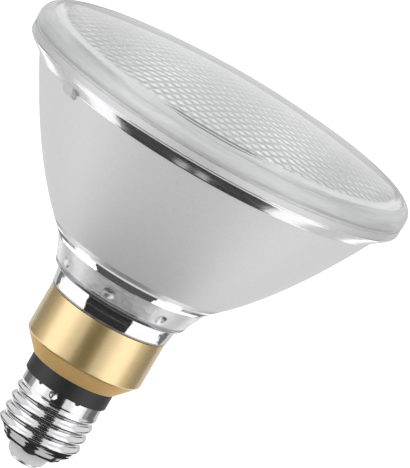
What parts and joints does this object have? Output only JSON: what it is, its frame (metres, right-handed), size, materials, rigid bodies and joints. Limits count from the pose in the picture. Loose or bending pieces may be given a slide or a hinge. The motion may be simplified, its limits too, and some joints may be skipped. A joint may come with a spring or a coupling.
{
  "type": "par spotlight bulb",
  "caption": "Spotlight lamp with a pressed glass bowl, a pebbled glass lens, a gold metal collar and an Edison screw cap.",
  "frame": {"origin": "middle of the centre contact's lower face, the lamp's lowest point with the lens up", "axes": "+Z along the lamp's axis from the screw cap towards the lens; -Y towards the side that the picture shows"},
  "size_m": [0.123, 0.123, 0.1299],
  "materials": {
    "contact_metal": "satin",
    "white_plastic": "satin",
    "nickel": "bright nickel plate",
    "black_plastic": "satin",
    "gold_aluminium": "satin gold anodised",
    "cement": "matte",
    "reflector_glass": "satin, aluminised inside",
    "seal": "matte",
    "lens_glass": "clear, pebbled inside",
    "bare_aluminium": "machined",
    "pad": "matte",
    "white_board": "white solder mask",
    "module_ceramic": "satin",
    "phosphor": "satin silicone",
    "screw_steel": "zinc plated",
    "red_wire": "satin",
    "black_wire": "satin",
    "green_board": "satin solder mask",
    "capacitor_sleeve": "satin",
    "ferrite": "matte",
    "copper": "enamelled copper wire",
    "film_box": "satin",
    "chip": "matte",
    "fuse_body": "satin",
    "blue_wire": "satin"
  },
  "bodies": {
    "root": {"centre_contact": "contact_metal", "cap_insulator": "white_plastic", "screw_shell": "nickel", "driver_housing": "black_plastic", "housing_lid": "black_plastic", "collar": "gold_aluminium", "neck_cement": "cement", "reflector": "reflector_glass", "rim_seal": "seal", "lens": "lens_glass", "heat_spreader": "bare_aluminium", "thermal_pad": "pad", "light_board": "white_board", "light_module": "module_ceramic", "phosphor_disc": "phosphor", "board_screws": "screw_steel", "positive_wire": "red_wire", "negative_wire": "black_wire", "driver_board": "green_board", "bulk_capacitor": "capacitor_sleeve", "output_capacitor": "capacitor_sleeve", "transformer_core": "ferrite", "transformer_winding": "copper", "film_capacitor": "film_box", "bridge_rectifier": "chip", "controller_chip": "chip", "fuse_resistor": "fuse_body", "neutral_wire": "blue_wire"}
  },
  "joints": []
}
